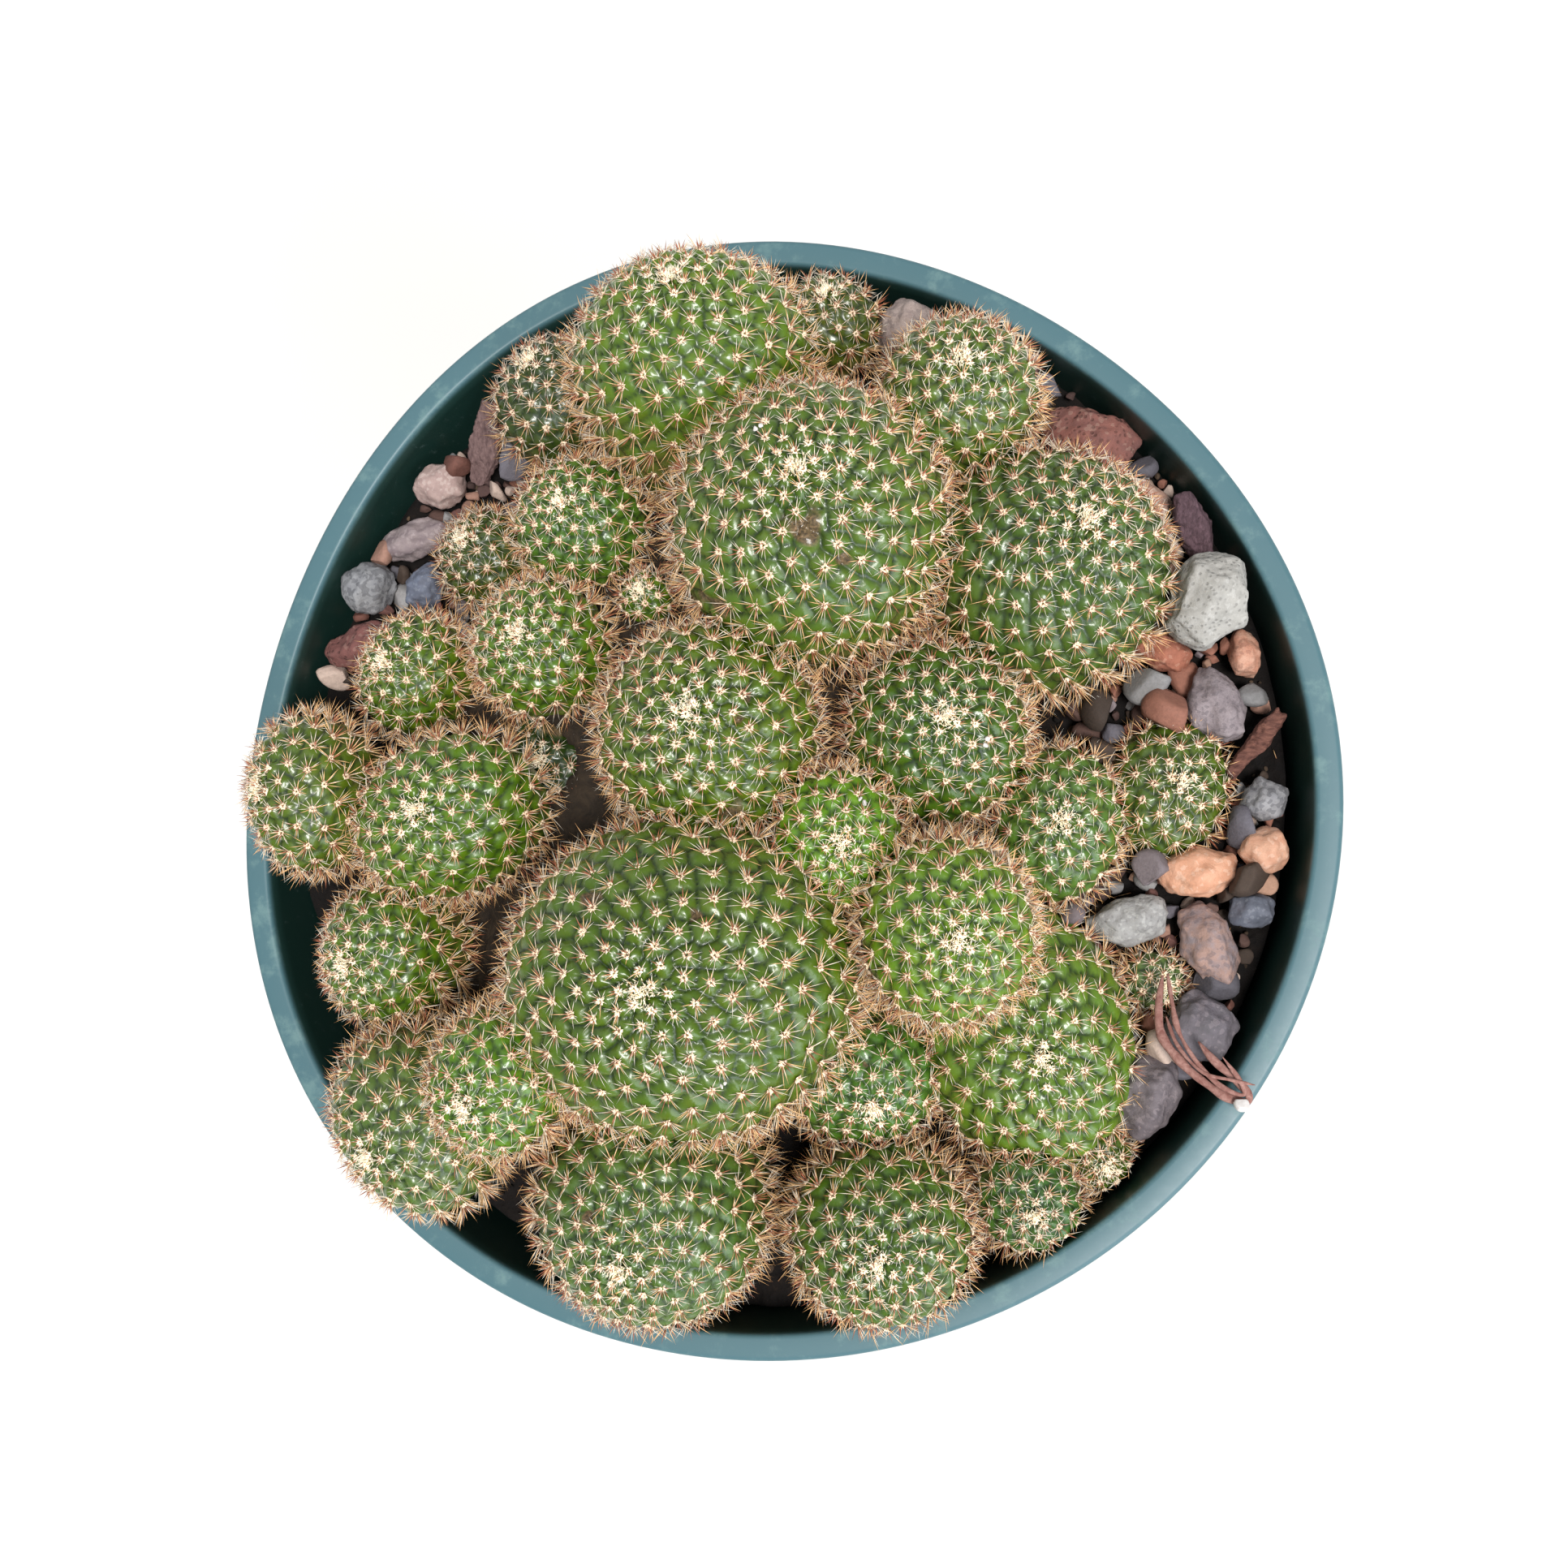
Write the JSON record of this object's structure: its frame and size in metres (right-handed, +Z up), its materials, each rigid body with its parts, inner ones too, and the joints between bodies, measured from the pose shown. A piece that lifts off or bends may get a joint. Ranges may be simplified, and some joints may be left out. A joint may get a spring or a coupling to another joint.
{
  "type": "potted round cactus",
  "caption": "Clump of small globular spiny cactus heads in a round plastic nursery pot dressed with stones and bark.",
  "frame": {"origin": "the middle of the pot's underside, on the plane it stands on", "axes": "+Z up the pot's axis; +X towards the side where most stones show"},
  "size_m": [0.102, 0.102, 0.0994],
  "materials": {
    "pot_plastic": "satin",
    "potting_mix": "matte",
    "crown_wood": "matte",
    "flesh_young": "satin",
    "flesh_old": "satin",
    "grit_pink": "matte",
    "grit_red": "matte",
    "grit_tan": "matte",
    "grit_pale": "matte",
    "grit_grey": "matte",
    "grit_slate": "matte",
    "bark": "matte",
    "root_fibre": "matte"
  },
  "bodies": {
    "root": {"nursery_pot": "pot_plastic", "potting_mix": "potting_mix", "root_crown": "crown_wood", "head_01": "flesh_young", "head_02": "flesh_old", "head_03": "flesh_old", "head_04": "flesh_young", "head_05": "flesh_young", "head_06": "flesh_young", "head_07": "flesh_old", "head_08": "flesh_old", "head_09": "flesh_old", "head_10": "flesh_old", "head_11": "flesh_old", "head_12": "flesh_young", "head_13": "flesh_old", "head_14": "flesh_young", "head_15": "flesh_young", "head_16": "flesh_young", "head_17": "flesh_old", "head_18": "flesh_young", "head_19": "flesh_old", "head_20": "flesh_young", "head_21": "flesh_young", "head_22": "flesh_old", "head_23": "flesh_old", "head_24": "flesh_young", "head_25": "flesh_old", "head_26": "flesh_old", "head_27": "flesh_old", "head_28": "flesh_old", "head_29": "flesh_young", "head_30": "flesh_old", "head_31": "flesh_old", "head_32": "flesh_old", "stone_pink_grey": "grit_pink", "stone_lava_flat": "grit_red", "stone_pale_pink": "grit_pink", "stone_pumice": "grit_pale", "stone_brick": "grit_red", "stone_shard": "grit_grey", "stone_tan_north": "grit_tan", "stone_speckled_right": "grit_grey", "stone_tan_upper": "grit_tan", "stone_tan_broad": "grit_tan", "stone_grey_pale": "grit_pale", "stone_slate": "grit_slate", "stone_two_tone": "grit_pink", "stone_dark_upper": "grit_slate", "stone_dark_lower": "grit_slate", "stone_pink_left": "grit_pink", "stone_mauve_left": "grit_grey", "stone_speckled_left": "grit_grey", "stone_slate_left": "grit_slate", "stone_lava_left": "grit_red", "bark_chip_north": "bark", "bark_chip_east": "bark", "bark_stick": "bark", "bark_chip_left": "bark", "dried_root": "root_fibre"}
  },
  "joints": []
}
